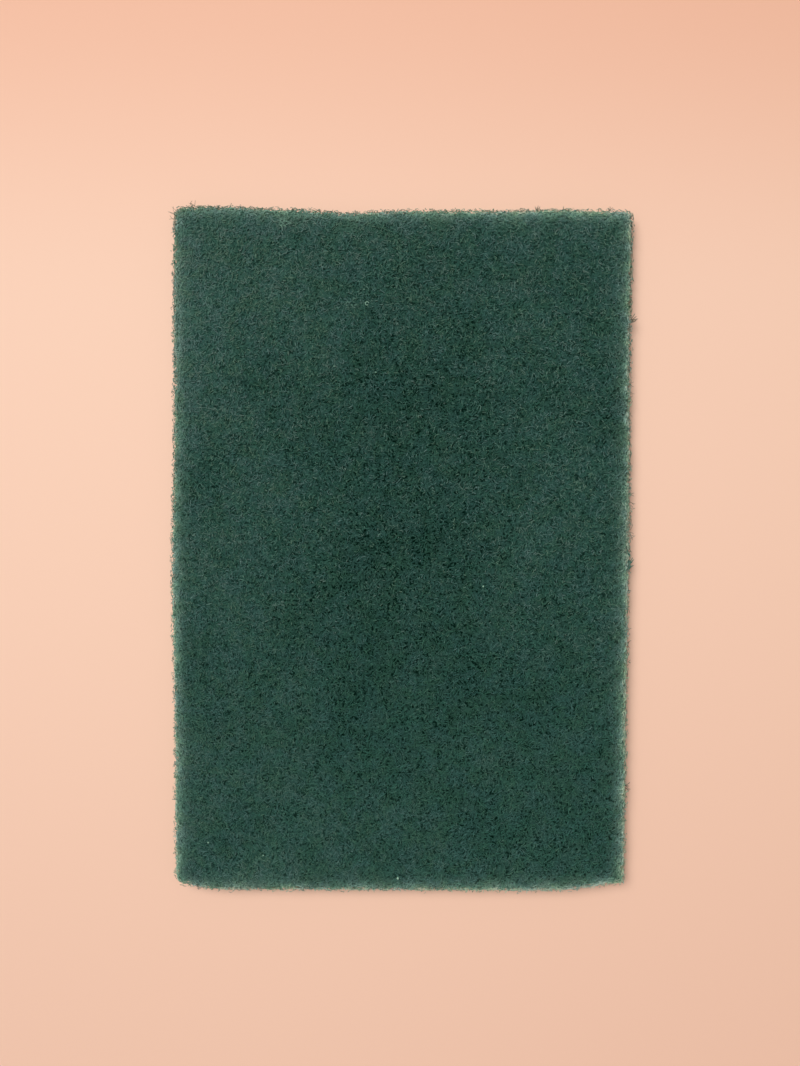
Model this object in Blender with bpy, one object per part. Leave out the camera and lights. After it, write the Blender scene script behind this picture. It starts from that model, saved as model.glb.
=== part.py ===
"""A scouring pad: one flat slab of bonded fibre web, cut from a sheet.

Sizes are in metres and +Z is up. The pad lies flat with its width along X and its length
along Y. The origin is on the table, under the middle of the pad.
"""

import math

import bmesh
import bpy

# Driving sizes of the slab
PAD_WIDTH = 0.1520
PAD_LENGTH = 0.2286
PAD_THICKNESS = 0.0070

# The soft rim: the blade pinches the web, so the face falls away towards the cut
RIM_WIDTH = 0.0034
RIM_FALL = 0.0013

# The cut wall stands out between its upper and lower corners by this much
WALL_BULGE = 0.0009

# Corner radii, seen from above, with the length's +Y end at the top
TOP_LEFT_RADIUS = 0.0021
TOP_RIGHT_RADIUS = 0.0010
BOTTOM_LEFT_RADIUS = 0.0018
BOTTOM_RIGHT_RADIUS = 0.0014

# Where the top cut wanders: high near the left, a dip before the middle, a rise near the right
TOP_HUMP_PLACE = -0.0620
TOP_HUMP_REACH = 0.0160
TOP_HUMP_HEIGHT = 0.0010
TOP_DIP_PLACE = -0.0170
TOP_DIP_REACH = 0.0100
TOP_DIP_DEPTH = 0.0009
TOP_RISE_PLACE = 0.0510
TOP_RISE_REACH = 0.0090
TOP_RISE_HEIGHT = 0.0006

# The bottom cut bows: it draws in towards both of its corners
BOTTOM_LEFT_REACH = 0.0075
BOTTOM_LEFT_DEPTH = 0.0023
BOTTOM_RIGHT_REACH = 0.0140
BOTTOM_RIGHT_DEPTH = 0.0027

# Both long cuts belly out a little below their middle
SIDE_BOW_PLACE = -0.0150
SIDE_BOW_REACH = 0.0620
LEFT_BOW_HEIGHT = 0.0010
RIGHT_BOW_HEIGHT = 0.0004

# They also waver, each with its own length of wave and its own start in radians
LEFT_WAVE_HEIGHT = 0.0002
LEFT_WAVE_LENGTH = 0.0900
LEFT_WAVE_START = 2.1
RIGHT_WAVE_HEIGHT = 0.0001
RIGHT_WAVE_LENGTH = 0.1125
RIGHT_WAVE_START = 0.6

# Low lumps of the web on the upper face
LUMP_HEIGHT = 0.0004
LUMP_LENGTH = 0.0210

# How the slab is divided into faces
CELLS_ACROSS = 32
CELLS_ALONG = 48
RIM_LINE_SHARES = (0.0, 0.35, 0.70, 1.0)
WALL_STEPS = 4

# The three wave trains that make the lumps: heading in degrees, share of the length, start
LUMP_TRAINS = ((12.0, 1.0, 0.4), (77.0, 0.83, 2.9), (139.0, 1.21, 5.1))

# Finish of the bonded fibre: a dull dark green
WEB_COLOUR = (0.026, 0.078, 0.055, 1.0)
WEB_ROUGHNESS = 0.95
SHARP_ANGLE = math.radians(50.0)


def clear_scene():
    """Takes every object out of the scene."""
    for item in list(bpy.data.objects):
        bpy.data.objects.remove(item, do_unlink=True)


def swell(place, centre, reach, height):
    """Height of a smooth bump on a cut, for a place along that cut."""
    return height * math.exp(-(((place - centre) / reach) ** 2))


def smooth_step(share):
    """Rises from 0 to 1 with level ends, for a share that is held between them."""
    held = min(max(share, 0.0), 1.0)
    return held * held * (3.0 - 2.0 * held)


def top_cut(x):
    """How far the top cut stands out at this place across the pad."""
    hump = swell(x, TOP_HUMP_PLACE, TOP_HUMP_REACH, TOP_HUMP_HEIGHT)
    dip = swell(x, TOP_DIP_PLACE, TOP_DIP_REACH, TOP_DIP_DEPTH)
    rise = swell(x, TOP_RISE_PLACE, TOP_RISE_REACH, TOP_RISE_HEIGHT)
    return hump - dip + rise


def bottom_cut(x):
    """How far the bottom cut stands out at this place across the pad."""
    left = swell(x, -PAD_WIDTH / 2, BOTTOM_LEFT_REACH, BOTTOM_LEFT_DEPTH)
    right = swell(x, PAD_WIDTH / 2, BOTTOM_RIGHT_REACH, BOTTOM_RIGHT_DEPTH)
    return -left - right


def left_cut(y):
    """How far the left cut stands out at this place along the pad."""
    wave = LEFT_WAVE_HEIGHT * math.sin(2 * math.pi * y / LEFT_WAVE_LENGTH + LEFT_WAVE_START)
    return wave + swell(y, SIDE_BOW_PLACE, SIDE_BOW_REACH, LEFT_BOW_HEIGHT)


def right_cut(y):
    """How far the right cut stands out at this place along the pad."""
    wave = RIGHT_WAVE_HEIGHT * math.sin(2 * math.pi * y / RIGHT_WAVE_LENGTH + RIGHT_WAVE_START)
    return wave + swell(y, SIDE_BOW_PLACE, SIDE_BOW_REACH, RIGHT_BOW_HEIGHT)


def corner_radius(x, y):
    """Radius of the corner in this quarter of the pad."""
    if y > 0:
        return TOP_LEFT_RADIUS if x < 0 else TOP_RIGHT_RADIUS
    return BOTTOM_LEFT_RADIUS if x < 0 else BOTTOM_RIGHT_RADIUS


def round_corner(x, y):
    """Moves a point near a corner of the rectangle so that the corner becomes an arc."""
    radius = corner_radius(x, y)
    centre_x = PAD_WIDTH / 2 - radius
    centre_y = PAD_LENGTH / 2 - radius
    past_x = abs(x) - centre_x
    past_y = abs(y) - centre_y
    if past_x <= 0 or past_y <= 0:
        return x, y
    pull = max(past_x, past_y) / math.hypot(past_x, past_y)
    return (
        math.copysign(centre_x + past_x * pull, x),
        math.copysign(centre_y + past_y * pull, y),
    )


def on_pad(x, y, inset):
    """Carries a point of the plain rectangle to its place on the cut outline.

    The inset draws the whole outline in. Between opposite cuts, their wanderings blend evenly.
    """
    x, y = round_corner(x, y)
    x *= 1 - 2 * inset / PAD_WIDTH
    y *= 1 - 2 * inset / PAD_LENGTH
    to_right = 0.5 + x / PAD_WIDTH
    to_top = 0.5 + y / PAD_LENGTH
    return (
        x + right_cut(y) * to_right - left_cut(y) * (1 - to_right),
        y + top_cut(x) * to_top - bottom_cut(x) * (1 - to_top),
    )


def lumps(x, y):
    """Depth of the upper face below its highest level, from 0 to 1."""
    total = 0.0
    for degrees, share, start in LUMP_TRAINS:
        heading = math.radians(degrees)
        along = x * math.cos(heading) + y * math.sin(heading)
        total += math.sin(2 * math.pi * along / (LUMP_LENGTH * share) + start)
    return 0.5 - 0.5 * total / len(LUMP_TRAINS)


def face_height(x, y):
    """Height of the upper face above the table, for a point of the plain rectangle."""
    to_cut = min(PAD_WIDTH / 2 - abs(x), PAD_LENGTH / 2 - abs(y))
    risen = smooth_step(to_cut / RIM_WIDTH)
    crown = RIM_FALL - LUMP_HEIGHT * lumps(x, y)
    return PAD_THICKNESS - RIM_FALL + crown * risen


def grid_lines(size, cells):
    """Places of the grid lines across one side: close over the rim and even between."""
    half = size / 2
    rim = [half - RIM_WIDTH * share for share in RIM_LINE_SHARES]
    inner = rim[-1]
    even = [inner * (2 * step / cells - 1) for step in range(1, cells)]
    return [-place for place in rim] + even + rim[::-1]


def border_walk(columns, rows):
    """Grid indices round the border, anticlockwise from the bottom left corner."""
    bottom = [(i, 0) for i in range(columns - 1)]
    right = [(columns - 1, j) for j in range(rows - 1)]
    top = [(i, rows - 1) for i in range(columns - 1, 0, -1)]
    left = [(0, j) for j in range(rows - 1, 0, -1)]
    return bottom + right + top + left


def add_face(mesh, across, along):
    """Adds the upper face and returns its vertices, by column and row."""
    grid = {}
    for i, x in enumerate(across):
        for j, y in enumerate(along):
            grid[i, j] = mesh.verts.new((*on_pad(x, y, WALL_BULGE), face_height(x, y)))
    for i in range(len(across) - 1):
        for j in range(len(along) - 1):
            mesh.faces.new((grid[i, j], grid[i + 1, j], grid[i + 1, j + 1], grid[i, j + 1]))
    return grid


def add_wall(mesh, spots, upper):
    """Adds the bulging cut wall below the border of the upper face, and returns its last ring."""
    top = PAD_THICKNESS - RIM_FALL
    for step in range(1, WALL_STEPS + 1):
        turn = math.pi * step / WALL_STEPS
        inset = WALL_BULGE * (1 - math.sin(turn))
        height = top * (1 + math.cos(turn)) / 2
        lower = [mesh.verts.new((*on_pad(x, y, inset), height)) for x, y in spots]
        for k in range(len(spots)):
            mesh.faces.new((upper[k - 1], lower[k - 1], lower[k], upper[k]))
        upper = lower
    return upper


def centre_over_origin(mesh):
    """Moves the slab sideways so that its box is centred over the origin."""
    for axis in range(2):
        places = [vertex.co[axis] for vertex in mesh.verts]
        middle = (min(places) + max(places)) / 2
        for vertex in mesh.verts:
            vertex.co[axis] -= middle


def make_material(name, colour, roughness):
    """Makes a dull, non-metallic Principled material."""
    material = bpy.data.materials.new(name)
    material.use_nodes = True
    shader = material.node_tree.nodes["Principled BSDF"]
    shader.inputs["Base Color"].default_value = colour
    shader.inputs["Roughness"].default_value = roughness
    shader.inputs["Metallic"].default_value = 0.0
    return material


def make_pad():
    """Makes the pad as one closed solid with its flat underside on the table."""
    across = grid_lines(PAD_WIDTH, CELLS_ACROSS)
    along = grid_lines(PAD_LENGTH, CELLS_ALONG)
    mesh = bmesh.new()
    grid = add_face(mesh, across, along)
    walk = border_walk(len(across), len(along))
    spots = [(across[i], along[j]) for i, j in walk]
    foot = add_wall(mesh, spots, [grid[place] for place in walk])
    mesh.faces.new(foot[::-1])
    centre_over_origin(mesh)
    data = bpy.data.meshes.new("scouring_pad")
    mesh.to_mesh(data)
    mesh.free()
    data.shade_smooth()
    data.set_sharp_from_angle(angle=SHARP_ANGLE)
    data.materials.append(make_material("fibre_web", WEB_COLOUR, WEB_ROUGHNESS))
    pad = bpy.data.objects.new("scouring_pad", data)
    bpy.context.scene.collection.objects.link(pad)
    return pad


def main():
    """Builds the pad in an empty scene."""
    clear_scene()
    make_pad()


main()
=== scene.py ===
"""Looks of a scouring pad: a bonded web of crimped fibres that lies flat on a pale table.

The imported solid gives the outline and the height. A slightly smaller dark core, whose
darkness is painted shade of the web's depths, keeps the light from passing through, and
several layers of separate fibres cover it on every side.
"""
import logging
import math
import random
from dataclasses import dataclass, fields
from enum import Enum

import bmesh
import bpy
import numpy as np
from mathutils import Matrix, Vector, noise
from mathutils.bvhtree import BVHTree


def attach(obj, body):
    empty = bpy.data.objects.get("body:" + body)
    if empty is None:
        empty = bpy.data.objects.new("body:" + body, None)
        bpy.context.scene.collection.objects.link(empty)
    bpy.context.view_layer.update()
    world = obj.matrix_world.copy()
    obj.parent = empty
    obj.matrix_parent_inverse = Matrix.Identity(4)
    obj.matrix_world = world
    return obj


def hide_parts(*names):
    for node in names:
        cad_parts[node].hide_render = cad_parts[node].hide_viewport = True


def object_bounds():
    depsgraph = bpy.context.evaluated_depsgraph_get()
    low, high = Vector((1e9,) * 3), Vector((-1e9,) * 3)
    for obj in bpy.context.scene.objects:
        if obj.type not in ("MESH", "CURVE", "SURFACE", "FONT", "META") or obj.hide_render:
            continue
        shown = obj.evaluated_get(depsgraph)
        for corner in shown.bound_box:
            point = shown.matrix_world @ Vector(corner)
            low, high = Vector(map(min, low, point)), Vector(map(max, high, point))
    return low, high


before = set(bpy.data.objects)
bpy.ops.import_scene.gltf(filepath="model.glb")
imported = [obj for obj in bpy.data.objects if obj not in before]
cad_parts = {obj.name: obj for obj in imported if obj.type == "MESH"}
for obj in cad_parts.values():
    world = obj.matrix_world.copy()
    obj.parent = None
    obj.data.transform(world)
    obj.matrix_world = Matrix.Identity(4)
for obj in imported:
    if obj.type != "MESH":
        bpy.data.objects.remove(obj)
CAD_LOW, CAD_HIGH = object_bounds()

SOLID = "scouring_pad"
BODY = "root"

MILLIMETRE = 0.001
DEGREE = math.pi / 180.0
WIDTH = CAD_HIGH[0] - CAD_LOW[0]
LENGTH = CAD_HIGH[1] - CAD_LOW[1]
HEIGHT = CAD_HIGH[2] - CAD_LOW[2]

# The cut wall's faces are those whose normals rise less than this. Distances to it are
# measured at about the level where it stands out furthest.
WALL_UPWARD = 0.5
WALL_LEVEL = 0.42 * HEIGHT

# Name of the stored distance inside the cut, seen from above
INSIDE = "inside"

# The fibres' map: each quarter of it is used from the margin on, over the reach
TINT_MAP = "OFBake"
MAP_MARGIN = 0.05
MAP_REACH = 0.90

log = logging.getLogger("scouring_pad")

Colour = tuple[float, float, float]
Place = tuple[float, float, float]


def mm(size: float) -> float:
    """A size in millimetres, turned into metres."""
    return size * MILLIMETRE


class Wire:
    """A node's output that takes part in Python expressions."""

    def __init__(self, graph: "Graph", socket: bpy.types.NodeSocket) -> None:
        """Holds the output socket and the graph that new nodes go into."""
        self.graph = graph
        self.socket = socket

    def __add__(self, other: "Operand") -> "Wire":
        """The sum of both."""
        return self.graph.math("ADD", self, other)

    def __radd__(self, other: "Operand") -> "Wire":
        """The sum of both."""
        return self.graph.math("ADD", other, self)

    def __sub__(self, other: "Operand") -> "Wire":
        """This one less the other."""
        return self.graph.math("SUBTRACT", self, other)

    def __rsub__(self, other: "Operand") -> "Wire":
        """The other less this one."""
        return self.graph.math("SUBTRACT", other, self)

    def __mul__(self, other: "Operand") -> "Wire":
        """The product of both."""
        return self.graph.math("MULTIPLY", self, other)

    def __rmul__(self, other: "Operand") -> "Wire":
        """The product of both."""
        return self.graph.math("MULTIPLY", other, self)

    def __truediv__(self, other: "Operand") -> "Wire":
        """This one divided by the other."""
        return self.graph.math("DIVIDE", self, other)

    def __pow__(self, other: "Operand") -> "Wire":
        """This one raised to the other."""
        return self.graph.math("POWER", self, other)

    def clamp(self) -> "Wire":
        """This one held between 0 and 1."""
        return self.graph.math("MINIMUM", self.graph.math("MAXIMUM", self, 0.0), 1.0)


Operand = Wire | float


class Graph:
    """Builds a shader tree or a geometry tree, one node at a time."""

    def __init__(self, tree: bpy.types.NodeTree) -> None:
        """Starts on the tree that receives the nodes."""
        self.tree = tree

    def feed(self, socket: bpy.types.NodeSocket, value: object) -> None:
        """Links a wire to an input socket, or sets the socket's own value.

        Args:
            socket: The input socket.
            value: A wire, or a value that the socket takes.
        """
        if isinstance(value, Wire):
            self.tree.links.new(value.socket, socket)
        else:
            socket.default_value = value

    def add(
        self,
        kind: str,
        settings: dict[str, object] | None = None,
        inputs: dict[str | int, object] | None = None,
        output: str | None = None,
    ) -> Wire:
        """Adds a node.

        Args:
            kind: The node's type.
            settings: Values of the node's own settings, which are set first.
            inputs: Values or wires by the socket's identifier or index.
            output: The identifier of the output to return, or None for the first one in use.

        Returns:
            The chosen output.
        """
        node = self.tree.nodes.new(kind)
        for name, value in (settings or {}).items():
            setattr(node, name, value)
        by_name = {socket.identifier: socket for socket in node.inputs}
        for name, value in (inputs or {}).items():
            self.feed(node.inputs[name] if isinstance(name, int) else by_name[name], value)
        usable = [socket for socket in node.outputs if socket.enabled]
        if output is not None:
            usable = [socket for socket in node.outputs if socket.identifier == output]
        return Wire(self, usable[0])

    def other(self, wire: Wire, output: str) -> Wire:
        """Another output of the node that a wire comes from."""
        found = [s for s in wire.socket.node.outputs if s.identifier == output and s.enabled]
        return Wire(self, found[0])

    def math(self, operation: str, *values: Operand) -> Wire:
        """Adds a Math node on one, two or three values."""
        return self.add("ShaderNodeMath", {"operation": operation}, dict(enumerate(values)))

    def vector(self, operation: str, *values: object, output: str = "Vector") -> Wire:
        """Adds a Vector Math node on its inputs in order."""
        settings = {"operation": operation}
        return self.add("ShaderNodeVectorMath", settings, dict(enumerate(values)), output)

    def scaled(self, vector: object, factor: Operand) -> Wire:
        """A vector times a number."""
        inputs = {"Vector": vector, "Scale": factor}
        return self.add("ShaderNodeVectorMath", {"operation": "SCALE"}, inputs)

    def dot(self, first: object, second: object) -> Wire:
        """The dot product of two vectors."""
        return self.vector("DOT_PRODUCT", first, second, output="Value")

    def joined(self, x: Operand, y: Operand, z: Operand) -> Wire:
        """A vector from its three parts."""
        return self.add("ShaderNodeCombineXYZ", None, {"X": x, "Y": y, "Z": z})

    def parted(self, vector: Wire) -> tuple[Wire, Wire, Wire]:
        """A vector's three parts."""
        x = self.add("ShaderNodeSeparateXYZ", None, {"Vector": vector}, "X")
        return x, self.other(x, "Y"), self.other(x, "Z")

    def blend(self, factor: Operand, first: object, second: object) -> Wire:
        """Mixes two colours, from the first at 0 to the second at 1."""
        inputs = {"Factor_Float": factor, "A_Color": first, "B_Color": second}
        return self.add("ShaderNodeMix", {"data_type": "RGBA"}, inputs, "Result_Color")

    def smooth(self, value: Operand, low: float, high: float) -> Wire:
        """Rises smoothly from 0 at low to 1 at high."""
        inputs = {"Value": value, "From Min": low, "From Max": high}
        return self.add("ShaderNodeMapRange", {"interpolation_type": "SMOOTHSTEP"}, inputs, "Result")

    def fading(self, distance: Wire, reach: float) -> Wire:
        """Falls from 1 at no distance towards 0, by a factor of e over each reach."""
        return self.math("EXPONENT", distance * (-1.0 / reach))

    def noise(self, place: object, size: float, detail: float = 2.0, rough: float = 0.5) -> Wire:
        """Noise around 0, mostly within half a unit, with features of a size in metres."""
        inputs = {"Vector": place, "Scale": 1.0 / size, "Detail": detail, "Roughness": rough}
        return self.add("ShaderNodeTexNoise", None, inputs, "Fac") - 0.5


def rgba(colour: Colour) -> tuple[float, float, float, float]:
    """A colour with full opacity added."""
    return (*colour, 1.0)


def new_material(
    name: str, roughness: float, specular: float
) -> tuple[bpy.types.Material, Graph, bpy.types.Node]:
    """Makes a material whose roughness and specular level are the same all over.

    Args:
        name: The material's name.
        roughness: Its roughness.
        specular: Its specular level.

    Returns:
        The material, its graph and its Principled shader.
    """
    material = bpy.data.materials.new(name)
    material.use_nodes = True
    shader = material.node_tree.nodes["Principled BSDF"]
    shader.inputs["Roughness"].default_value = roughness
    shader.inputs["Specular IOR Level"].default_value = specular
    return material, Graph(material.node_tree), shader


@dataclass(frozen=True)
class TonePatch:
    """A soft round place where the web is lighter, or darker where the gain is below 0.

    The place and the reach are in millimetres.
    """

    x: float
    y: float
    reach: float
    gain: float


@dataclass(frozen=True)
class WebToneAndShade:
    """How light the web is from place to place: darker towards a little below the middle, partly the
    web's own tone and partly painted shade, with lighter and darker patches and a mottle.
    """

    # Partly painted shade: the web is darkest around this middle place and lighter towards the sides
    # and the ends
    middle_x: float = 0.05 * WIDTH
    middle_y: float = -0.12 * LENGTH
    shade_trough: float = 0.40
    gain_x: float = 0.14
    gain_y: float = 0.60
    average: float = 0.087
    patch_size: float = mm(26.0)
    patch_gain: float = 0.50
    patch_detail: float = 5.0
    patch_rough: float = 0.62
    felted_from: float = mm(-20.0)
    felted_to: float = mm(70.0)
    felted_gain: float = 0.055
    patches: tuple[TonePatch, ...] = (
        TonePatch(-67.0, 80.0, 27.0, 0.17),
        TonePatch(10.0, 84.0, 26.0, 0.06),
        TonePatch(50.0, 92.0, 26.0, -0.08),
        TonePatch(-52.0, 104.0, 22.0, -0.07),
        TonePatch(46.0, 20.0, 24.0, 0.11),
        TonePatch(-50.0, 2.0, 34.0, 0.07),
        TonePatch(-25.0, -90.0, 30.0, 0.02),
        TonePatch(-42.0, 62.0, 13.0, -0.09),
        TonePatch(64.0, 44.0, 14.0, -0.07),
        TonePatch(66.0, -66.0, 34.0, -0.12),
        TonePatch(66.0, -104.0, 15.0, -0.16),
        TonePatch(-64.0, -82.0, 20.0, -0.06),
    )

    def felted(self, graph: Graph, place: Wire) -> Wire:
        """How far the web is worn flat, from 0 at the upper end to 1 at the lower end."""
        _, y, _ = graph.parted(place)
        return graph.smooth(y * -1.0, self.felted_from, self.felted_to)

    def make(self, graph: Graph, place: Wire) -> Wire:
        """Builds the tone, with its painted shade, in either kind of tree.

        Args:
            graph: The tree's graph.
            place: The place on the pad.

        Returns:
            The tone, around 0.
        """
        x, y, _ = graph.parted(place)
        across = graph.math("ABSOLUTE", (x - self.middle_x) / WIDTH)
        along = (y - self.middle_y) / LENGTH
        # Partly painted shade: darker around the middle place, lighter towards the sides and the ends
        broad = graph.smooth(across, 0.0, self.shade_trough) * self.gain_x
        broad = broad + along * along * self.gain_y - self.average
        broad = broad + self.felted(graph, place) * self.felted_gain
        for patch in self.patches:
            spot = (mm(patch.x), mm(patch.y), HEIGHT)
            away = graph.vector("DISTANCE", place, spot, output="Value") / mm(patch.reach)
            broad = broad + graph.math("EXPONENT", away * away * -1.0) * patch.gain
        mottle = graph.noise(place, self.patch_size, self.patch_detail, self.patch_rough)
        return broad + mottle * self.patch_gain


@dataclass(frozen=True)
class WebRim:
    """The pale band along the cut, where the web is thin; it is partly painted light on the cut's
    edge.

    It is palest at the right and below, painted light on the sides turned away from the lamps, and it
    grows weaker towards the foot of the cut wall.
    """

    fade: float = mm(1.5)
    start: float = mm(0.35)
    gain: float = 1.38
    # Painted light: how much paler the band grows towards the right and towards the bottom
    across: float = 0.44
    along: float = 0.26
    most: float = 2.1
    patch_size: float = mm(4.5)
    patch_gain: float = 2.4
    patch_detail: float = 3.0
    foot: float = 0.3
    foot_low: float = mm(0.4)
    foot_high: float = mm(4.0)
    # Painted light: a broad brightening towards the cut, more at the upper left
    glow_reach: float = mm(5.0)
    glow_across: float = 0.6
    glow_along: float = 0.4

    def paleness(self, graph: Graph, place: Wire, inside: Wire) -> Wire:
        """How pale the web is, about 1 at the cut.

        Args:
            graph: The tree's graph.
            place: The place on the pad.
            inside: How far it lies inside the cut.

        Returns:
            The paleness, which can pass 1.
        """
        x, y, z = graph.parted(place)
        # Painted light: paler towards the right and the bottom, the sides turned away from the lamps
        sided = x * (2.0 * self.across / WIDTH) - y * (2.0 * self.along / LENGTH) + self.gain
        fading = graph.fading(graph.math("MAXIMUM", inside, self.start), self.fade)
        uneven = graph.noise(place, self.patch_size, self.patch_detail) * self.patch_gain + 1.0
        risen = graph.smooth(z, self.foot_low, self.foot_high) * (1.0 - self.foot) + self.foot
        return fading * graph.math("MINIMUM", sided, self.most) * uneven * risen

    def painted_glow(self, graph: Graph, place: Wire, inside: Wire) -> Wire:
        """A broad weak painted light towards the cut, stronger towards the lamps at the upper left.

        Args:
            graph: The tree's graph.
            place: The place on the pad.
            inside: How far it lies inside the cut.

        Returns:
            The painted light, about 1 at the cut and more at the upper left.
        """
        x, y, _ = graph.parted(place)
        sided = y * (2.0 * self.glow_along / LENGTH) - x * (2.0 * self.glow_across / WIDTH) + 1.0
        return graph.fading(inside, self.glow_reach) * sided


@dataclass(frozen=True)
class RimColours:
    """Colours of the pale band, partly faded fibre ends and partly painted light: a grey green, more
    faded and warmer where the band is palest.
    """

    pale: Colour = (0.400, 0.640, 0.485)
    bleached_and_lit: Colour = (0.535, 0.655, 0.490)
    bleached_and_lit_start: float = 0.35

    def over(self, graph: Graph, web: Wire, paleness: Wire) -> Wire:
        """Lays the pale band over the web's colour.

        Args:
            graph: The material's graph.
            web: The web's own colour.
            paleness: The share of the pale band, from 0 to 1.

        Returns:
            The colour.
        """
        bleached_and_lit_share = graph.smooth(paleness, self.bleached_and_lit_start, 1.0)
        band = graph.blend(bleached_and_lit_share, rgba(self.pale), rgba(self.bleached_and_lit))
        return graph.blend(paleness, web, band)


@dataclass(frozen=True)
class WebHue:
    """Where the web's colour is greyer or greener, and where it leans to olive or to blue."""

    patch_size: float = mm(6.5)
    patch_gain: float = 2.2
    shift: Place = (0.5, 0.2, 0.1)
    green: Colour = (0.954, 1.0, 0.942)
    grey: Colour = (1.046, 1.0, 1.058)
    bluish: Colour = (0.970, 1.0, 1.038)
    olive: Colour = (1.030, 1.0, 0.962)

    def shares(self, graph: Graph, place: Wire) -> tuple[Wire, Wire]:
        """Finds how grey and how olive the web is at a place.

        Args:
            graph: The tree's graph.
            place: The place on the pad.

        Returns:
            The shares of grey and of olive, mostly between 0 and 1.
        """
        shifted = graph.vector("ADD", place, self.shift)
        parts = (graph.noise(spot, self.patch_size) for spot in (place, shifted))
        grey, olive = (part * self.patch_gain + 0.5 for part in parts)
        return grey, olive

    def cast(self, graph: Graph, colour: Wire, grey: Operand, olive: Operand) -> Wire:
        """Casts a colour towards grey and towards olive.

        Args:
            graph: The material's graph.
            colour: The colour.
            grey: The share of grey.
            olive: The share of olive.

        Returns:
            The colour with both casts.
        """
        first = graph.blend(grey, rgba(self.green), rgba(self.grey))
        second = graph.blend(olive, rgba(self.bluish), rgba(self.olive))
        return graph.vector("MULTIPLY", colour, graph.vector("MULTIPLY", first, second))


@dataclass(frozen=True)
class Dye:
    """The web's greens: a dark one, a middle one and a light one."""

    dark: Colour
    middle: Colour
    light: Colour

    def at(self, graph: Graph, share: Wire) -> Wire:
        """The green at a share: dark at 0, middle at one half and light at 1."""
        lower = graph.blend((share * 2.0).clamp(), rgba(self.dark), rgba(self.middle))
        return graph.blend((share * 2.0 - 1.0).clamp(), lower, rgba(self.light))


@dataclass(frozen=True)
class FibreFinish:
    """Finish of the separate fibres: dyed green, with a thin dull coat of bonding resin.

    The colour follows the fibres' own map. Its right half is for greyer fibres and its upper
    half for olive ones. Each quarter holds the tint across and the paleness up. The tint
    carries painted shade and painted highlights, and the paleness partly painted light.
    """

    dye: Dye = Dye((0.0, 0.024, 0.013), (0.0435, 0.127, 0.096), (0.138, 0.232, 0.187))
    rim: RimColours = RimColours()
    roughness: float = 0.80
    specular: float = 0.05
    hue: WebHue = WebHue()

    def make(self) -> bpy.types.Material:
        """Builds the material.

        Returns:
            The material.
        """
        material, graph, shader = new_material("fibre", self.roughness, self.specular)
        place = graph.add("ShaderNodeUVMap", {"uv_map": TINT_MAP})
        across, up, _ = graph.parted(place)
        grey = graph.math("GREATER_THAN", across, 0.5)
        olive = graph.math("GREATER_THAN", up, 0.5)
        tint = across * 2.0 - grey
        paleness = ((up * 2.0 - olive - MAP_MARGIN) * (1.0 / MAP_REACH)).clamp()
        colour = self.rim.over(graph, self.dye.at(graph, tint), paleness)
        graph.feed(shader.inputs["Base Color"], self.hue.cast(graph, colour, grey, olive))
        return material


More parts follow.
